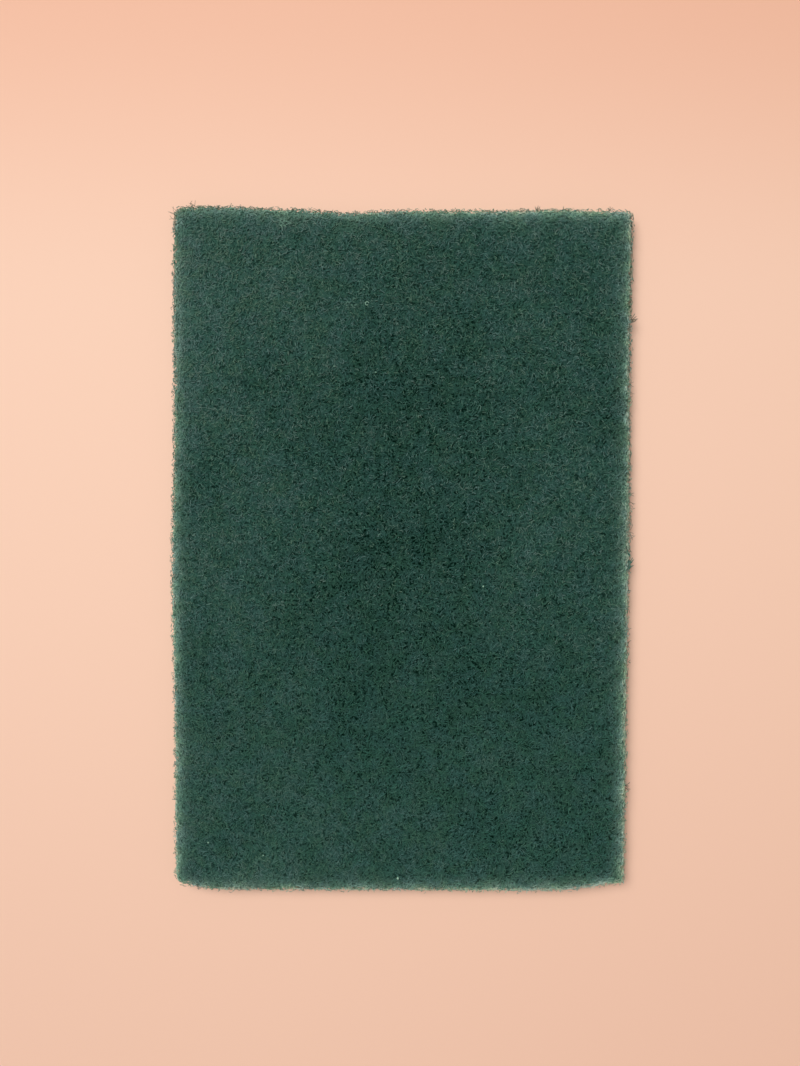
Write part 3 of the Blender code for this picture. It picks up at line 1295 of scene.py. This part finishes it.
# The deep and middle layers' tints reach less high than the fine and top ones': painted shade
LAYERS = (
    FibreLayer(
        "upper_fibres_deep", Facing.UPPER, seed=11, density=700000.0, length=mm(1.5),
        radius=mm(0.125), depth_low=mm(0.15), depth_high=mm(0.42), dive=0.0, spans=1, tint_low=0.34,
        tint_high=0.60,
    ),
    FibreLayer(
        "upper_fibres_middle", Facing.UPPER, seed=12, density=740000.0, length=mm(1.3),
        radius=mm(0.12), depth_low=mm(0.08), depth_high=mm(0.35), dive=0.0, spans=1, tint_low=0.34,
        tint_high=0.62,
    ),
    FibreLayer(
        "upper_fibres_fine", Facing.UPPER, seed=17, density=770000.0, length=mm(1.0),
        radius=mm(0.11), depth_high=mm(0.28), dive=0.0, spans=1, tint_low=0.34, tint_high=0.72,
    ),
    FibreLayer(
        "upper_fibres_top", Facing.UPPER, seed=13, density=440000.0, length=mm(1.9),
        radius=mm(0.105), depth_high=mm(0.25), curl_low=5.0, curl_high=110.0, spans=2,
        tint_low=0.40, tint_high=0.72, painted_glint=0.15,
    ),
    FibreLayer(
        "under_fibres", Facing.UNDER, seed=14, density=105000.0, length=mm(2.6), radius=mm(0.20),
        depth_low=mm(0.3), depth_high=mm(0.6), rise=mm(0.05), weave=mm(0.15), spans=2,
    ),
    FibreLayer(
        "cut_fibres", Facing.CUT, seed=15, density=1150000.0, length=mm(2.4), radius=mm(0.16),
        depth_high=mm(0.9), stand_out=mm(0.6), loose=0.05, lean_low=-30.0, lean_high=30.0, spans=2,
        tint_high=0.75,
    ),
    FibreLayer(
        "cut_ends", Facing.CUT, seed=16, density=900000.0, length=mm(2.6), radius=mm(0.11),
        curl_low=10.0, curl_high=90.0, lean_low=-80.0, lean_high=-20.0, stand_out=mm(1.1),
        standing=1.0, spans=2, tint_high=0.65, paleness=0.85,
    ),
    FibreLayer(
        "cut_fuzz", Facing.CUT, seed=19, density=1600000.0, length=mm(1.8), radius=mm(0.08),
        depth_low=mm(-1.1), depth_high=mm(0.2), depth_bias=0.6, stand_out=mm(1.5), loose=1.0,
        more_up=0.6, more_left=0.15, lean_low=-50.0, lean_high=50.0, spans=2, tint_low=0.10,
        tint_high=0.40, painted_glint=0.0, paleness=0.35,
    ),
    FibreLayer(
        "cut_tips", Facing.CUT, seed=18, density=110000.0, length=mm(2.4), radius=mm(0.10),
        curl_low=10.0, curl_high=60.0, lean_low=-85.0, lean_high=-35.0, stand_out=mm(1.5),
        standing=1.0, spans=2, tint_low=0.05, tint_high=0.25, paleness=0.2,
    ),
)


class TintedMesh:
    """Collects closed shapes in one mesh, each with its own tint and paleness."""

    SIDES = 4
    LUMP_NOISE = 0.35
    MAP_ACROSS = 0.008
    MAP_UP = 0.015

    def __init__(self, name: str) -> None:
        """Starts an empty mesh with a tint map.

        Args:
            name: Name of the piece.
        """
        self.name = name
        self.mesh = bmesh.new()
        self.map = self.mesh.loops.layers.uv.new(TINT_MAP)

    def paint(self, faces: list[bmesh.types.BMFace], tint: float, paleness: float) -> None:
        """Writes the tint and the paleness of some faces, spread so that they have width.

        Args:
            faces: The faces.
            tint: Their tint.
            paleness: Their paleness.
        """
        for face in faces:
            face.smooth = True
            for corner, loop in enumerate(face.loops):
                across = tint * MAP_REACH + MAP_MARGIN + corner * self.MAP_ACROSS
                up = paleness * MAP_REACH + MAP_MARGIN - corner % 2 * self.MAP_UP
                loop[self.map].uv = (across * 0.5, up * 0.5)

    def tube(self, path: list[Vector], radius: float, tint: float, paleness: float) -> None:
        """Adds a closed tube with pointed ends.

        Args:
            path: The points of its centre line, the pointed ends among them.
            radius: Its radius between the ends.
            tint: Its tint.
            paleness: Its paleness.
        """
        turns = [2.0 * math.pi * k / self.SIDES for k in range(self.SIDES)]
        rings = []
        for before, place, after in zip(path, path[1:], path[2:]):
            along = (after - before).normalized()
            side = along.cross(Vector((0.0, 0.0, 1.0))).normalized()
            up = side.cross(along)
            spots = [place + (side * math.cos(t) + up * math.sin(t)) * radius for t in turns]
            rings.append([self.mesh.verts.new(spot) for spot in spots])
        start, end = self.mesh.verts.new(path[0]), self.mesh.verts.new(path[-1])
        faces = []
        for k in range(self.SIDES):
            last = k - 1
            faces.append(self.mesh.faces.new((start, rings[0][last], rings[0][k])))
            faces.append(self.mesh.faces.new((end, rings[-1][k], rings[-1][last])))
            for first, second in zip(rings, rings[1:]):
                corners = (first[k], first[last], second[last], second[k])
                faces.append(self.mesh.faces.new(corners))
        self.paint(faces, tint, paleness)

    def lump(self, place: Vector, radius: float, tint: float, paleness: float) -> None:
        """Adds a small uneven ball.

        Args:
            place: Its middle.
            radius: Its radius.
            tint: Its tint.
            paleness: Its paleness.
        """
        turn = Matrix.Translation(place)
        made = bmesh.ops.create_icosphere(self.mesh, subdivisions=2, radius=radius, matrix=turn)
        for vertex in made["verts"]:
            push = noise.noise(vertex.co / radius) * self.LUMP_NOISE
            vertex.co += (vertex.co - place) * push
        faces = {face for vertex in made["verts"] for face in vertex.link_faces}
        self.paint(sorted(faces, key=lambda face: face.index), tint, paleness)

    def finish(self, material: bpy.types.Material) -> bpy.types.Object:
        """Args:
            material: The piece's material.

        Returns:
            The piece.
        """
        bmesh.ops.recalc_face_normals(self.mesh, faces=self.mesh.faces)
        data = bpy.data.meshes.new(self.name)
        self.mesh.to_mesh(data)
        self.mesh.free()
        data.materials.append(material)
        piece = link(bpy.data.objects.new(self.name, data))
        declare(piece)
        return piece


@dataclass(frozen=True)
class Tuft:
    """Loose fibres that start near one place. Lengths are in millimetres, turns in degrees."""

    x: float
    y: float
    z: float
    heading: float
    fan: float
    count: int
    length: float
    along_x: float
    along_y: float
    radius: float
    tint: float = 0.15
    paleness: float = 0.0


@dataclass
class LooseFibres:
    """Loose fibres that the cut pulled out, and matted ones on the upper face.

    Turns are in degrees and the height spread is in millimetres. Shortest and longest are
    shares of a tuft's length.
    """

    name: str = "loose_fibres"
    seed: int = 23
    steps: int = 6
    curl: float = 70.0
    pitch: float = 12.0
    height_spread: float = 0.2
    shortest: float = 0.6
    longest: float = 1.1
    tint_spread: float = 0.1
    tufts: tuple[Tuft, ...] = (
        Tuft(-74.8, 112.4, 5.0, 138.0, 14.0, 2, 2.9, 0.3, 0.3, 0.05, 0.30),
        Tuft(-75.2, 111.8, 4.6, 155.0, 14.0, 2, 3.1, 0.2, 0.3, 0.05, 0.30),
        Tuft(-75.3, 110.6, 4.4, 176.0, 12.0, 2, 3.1, 0.2, 0.3, 0.05, 0.30),
        Tuft(-69.4, 114.6, 4.6, 100.0, 40.0, 4, 2.2, 1.2, 0.3, 0.06),
        Tuft(76.4, 77.9, 4.4, 10.0, 40.0, 6, 2.6, 0.3, 0.6, 0.08),
        Tuft(76.4, -79.0, 4.0, -20.0, 40.0, 5, 2.4, 0.3, 0.5, 0.08),
        Tuft(45.3, 113.6, 4.6, 95.0, 40.0, 5, 2.0, 0.6, 0.3, 0.07),
        Tuft(68.6, 113.7, 4.6, 80.0, 30.0, 4, 1.8, 0.5, 0.3, 0.07),
        Tuft(77.0, 14.5, 3.2, 0.0, 60.0, 14, 2.3, 0.3, 9.5, 0.05, 0.15),
        Tuft(76.8, -32.0, 3.2, 0.0, 60.0, 7, 1.9, 0.3, 14.0, 0.05, 0.15),
        Tuft(76.4, 48.0, 3.2, 0.0, 60.0, 7, 1.9, 0.3, 16.0, 0.05, 0.15),
        Tuft(76.4, -3.2, 4.2, 90.0, 28.0, 46, 2.6, 0.7, 3.2, 0.12, 0.68, 0.06),
        Tuft(-38.6, 108.9, 7.3, 20.0, 90.0, 40, 1.4, 1.9, 1.1, 0.10, 1.0, 0.34),
        Tuft(-34.6, 110.4, 7.1, 60.0, 90.0, 14, 1.3, 1.4, 0.6, 0.10, 0.95, 0.26),
        Tuft(-15.4, 109.9, 7.1, 60.0, 90.0, 18, 1.5, 1.8, 1.0, 0.10, 0.90, 0.24),
        Tuft(-17.0, 82.5, 7.1, 40.0, 90.0, 14, 1.5, 1.6, 1.6, 0.10, 0.85, 0.12),
    )

    def path(self, tuft: Tuft, luck: random.Random) -> list[Vector]:
        """Bends one fibre of a tuft.

        Args:
            tuft: The tuft.
            luck: The source of chance.

        Returns:
            The points of its centre line, in metres.
        """
        spreads = (tuft.along_x, tuft.along_y, self.height_spread)
        offset = [luck.uniform(-spread, spread) for spread in spreads]
        place = Vector((tuft.x + offset[0], tuft.y + offset[1], tuft.z + offset[2]))
        heading = math.radians(tuft.heading + luck.uniform(-tuft.fan, tuft.fan))
        bend = math.radians(luck.uniform(-self.curl, self.curl)) / self.steps
        rise = math.sin(math.radians(luck.uniform(-self.pitch, self.pitch)))
        step = tuft.length * luck.uniform(self.shortest, self.longest) / self.steps
        places = [place]
        for _ in range(self.steps):
            place = place + Vector((math.cos(heading), math.sin(heading), rise)) * step
            heading += bend
            places.append(place)
        return [spot * MILLIMETRE for spot in places]

    def build(self, material: bpy.types.Material) -> bpy.types.Object:
        """Builds all the tufts as one piece.

        Args:
            material: The fibres' material.

        Returns:
            The finished piece.
        """
        luck = random.Random(self.seed)
        shape = TintedMesh(self.name)
        for tuft in self.tufts:
            for _ in range(tuft.count):
                path = self.path(tuft, luck)
                tint = tuft.tint + luck.uniform(-self.tint_spread, self.tint_spread)
                shape.tube(path, mm(tuft.radius), max(tint, 0.0), tuft.paleness)
        return shape.finish(material)


@dataclass(frozen=True)
class Knot:
    """A pale lump of resin or fibre. Its place and its radius are in millimetres."""

    x: float
    y: float
    radius: float
    paleness: float


@dataclass
class PaleKnots:
    """Small pale lumps on the upper face and a curled ring of fibre.

    Lengths are in millimetres and turns in degrees.
    """

    name: str = "pale_knots"
    depth: float = 0.1
    ring_x: float = -11.4
    ring_y: float = 82.5
    ring_radius: float = 0.55
    ring_turn: float = 330.0
    ring_steps: int = 14
    ring_thickness: float = 0.15
    ring_paleness: float = 0.55
    tint: float = 0.9
    knots: tuple[Knot, ...] = (
        Knot(27.6, -10.9, 0.30, 0.65),
        Knot(-45.7, -101.9, 0.24, 0.60),
        Knot(-64.2, -97.6, 0.26, 0.60),
        Knot(-22.2, 61.8, 0.22, 0.45),
        Knot(-8.4, 59.9, 0.24, 0.50),
        Knot(-0.4, -109.5, 0.42, 0.60),
        Knot(-12.4, 87.1, 0.22, 0.45),
    )

    def build(self, material: bpy.types.Material) -> bpy.types.Object:
        """Builds the ring and the lumps as one piece.

        Args:
            material: The fibres' material.

        Returns:
            The finished piece.
        """
        shape = TintedMesh(self.name)
        level = HEIGHT / MILLIMETRE - self.depth
        path = []
        for step in range(self.ring_steps + 1):
            turn = math.radians(self.ring_turn * step / self.ring_steps)
            x = self.ring_x + self.ring_radius * math.cos(turn)
            y = self.ring_y + self.ring_radius * math.sin(turn)
            path.append(Vector((x, y, level)) * MILLIMETRE)
        shape.tube(path, mm(self.ring_thickness), self.tint, self.ring_paleness)
        for knot in self.knots:
            place = Vector((knot.x, knot.y, level)) * MILLIMETRE
            shape.lump(place, mm(knot.radius), self.tint, knot.paleness)
        return shape.finish(material)


@dataclass
class Table:
    """The plain pale table under the pad."""

    half_width: float = 3.0
    level: float = mm(-0.02)
    finish: TableFinish = TableFinish()

    def build(self) -> bpy.types.Object:
        """Builds the table's surface just under the pad.

        Returns:
            The table.
        """
        mesh = bpy.data.meshes.new("table")
        reach = self.half_width
        corners = [(-reach, -reach, 0), (reach, -reach, 0), (reach, reach, 0), (-reach, reach, 0)]
        mesh.from_pydata(corners, [], [(0, 1, 2, 3)])
        mesh.materials.append(self.finish.make())
        table = link(bpy.data.objects.new("table", mesh))
        table.location.z = self.level
        return table


@dataclass
class Studio:
    """Soft plain light from overhead, a little stronger from the upper left."""

    world_strength: float = 0.26
    broad_strength: float = 2.209
    broad_from: Place = (-0.53, 0.55, 1.0)
    broad_spread: float = 39.0
    lamp_place: Place = (-0.16, 0.10, 0.60)
    lamp_width: float = 0.60
    lamp_power: float = 1.15

    def lamp(self, kind: str, name: str, place: Place) -> bpy.types.Light:
        """Puts a lamp at a place, aimed at the pad.

        Args:
            kind: The kind of lamp.
            name: The lamp's name.
            place: Where it hangs.

        Returns:
            The lamp's data.
        """
        data = bpy.data.lights.new(name, kind)
        lamp = link(bpy.data.objects.new(name, data))
        lamp.location = place
        lamp.rotation_euler = (-Vector(place)).to_track_quat("-Z", "Y").to_euler()
        return data

    def build(self) -> None:
        """Sets up the world and the lamps."""
        world = bpy.data.worlds.new("studio")
        world.use_nodes = True
        background = world.node_tree.nodes["Background"]
        background.inputs["Color"].default_value = rgba((1.0, 1.0, 1.0))
        background.inputs["Strength"].default_value = self.world_strength
        bpy.context.scene.world = world
        broad = self.lamp("SUN", "broad", self.broad_from)
        broad.energy = self.broad_strength
        broad.angle = math.radians(self.broad_spread)
        near = self.lamp("AREA", "near", self.lamp_place)
        near.shape = "SQUARE"
        near.size = self.lamp_width
        near.energy = self.lamp_power


@dataclass
class Viewpoint:
    """The camera: held flat over the pad, close, and tipped a little towards the lower end.

    The image and the focal length are in pixels, the sensor is in millimetres, and the
    distance, the aim and the nearest visible depth are in metres.
    """

    image_width: float = 800.0
    image_height: float = 1066.0
    focal_pixels: float = 801.0
    distance: float = 0.2662
    tip_degrees: float = 1.62
    aim_x: float = -0.0002
    aim_y: float = 0.0068
    roll_degrees: float = 0.25
    sensor: float = 24.0
    nearest: float = 0.01

    def build(self) -> bpy.types.Object:
        """Makes the camera and makes it the scene's own.

        Returns:
            The camera.
        """
        data = bpy.data.cameras.new("camera")
        data.sensor_fit = "VERTICAL"
        data.sensor_height = self.sensor
        data.lens = self.focal_pixels / self.image_height * self.sensor
        data.clip_start = self.nearest
        camera = link(bpy.data.objects.new("camera", data))
        tip = math.radians(self.tip_degrees)
        aim = Vector((self.aim_x, self.aim_y, CAD_HIGH[2]))
        back = Vector((0.0, math.sin(tip), math.cos(tip))) * self.distance
        turn = Matrix.Rotation(math.radians(self.roll_degrees), 4, "Z")
        camera.matrix_world = Matrix.Translation(aim + back) @ Matrix.Rotation(-tip, 4, "X") @ turn
        bpy.context.scene.camera = camera
        return camera


def report(piece: bpy.types.Object) -> None:
    """Logs a finished piece and how many triangles it has."""
    piece.data.calc_loop_triangles()
    log.info("%s: %d triangles", piece.name, len(piece.data.loop_triangles))


def main() -> None:
    """Builds the pad, its table, its light and its camera."""
    logging.basicConfig(level=logging.INFO, format="%(name)s: %(message)s")
    bpy.context.scene.view_settings.view_transform = "Standard"
    report(WebCore().build())
    fibre = FibreFinish().make()
    tree = FibreTree(fibre, WebToneAndShade(), WebHue(), WebRim())
    for layer in LAYERS:
        report(tree.lay(layer))
    report(LooseFibres().build(fibre))
    report(PaleKnots().build(fibre))
    Table().build()
    Studio().build()
    Viewpoint().build()


if __name__ == "__main__":
    main()
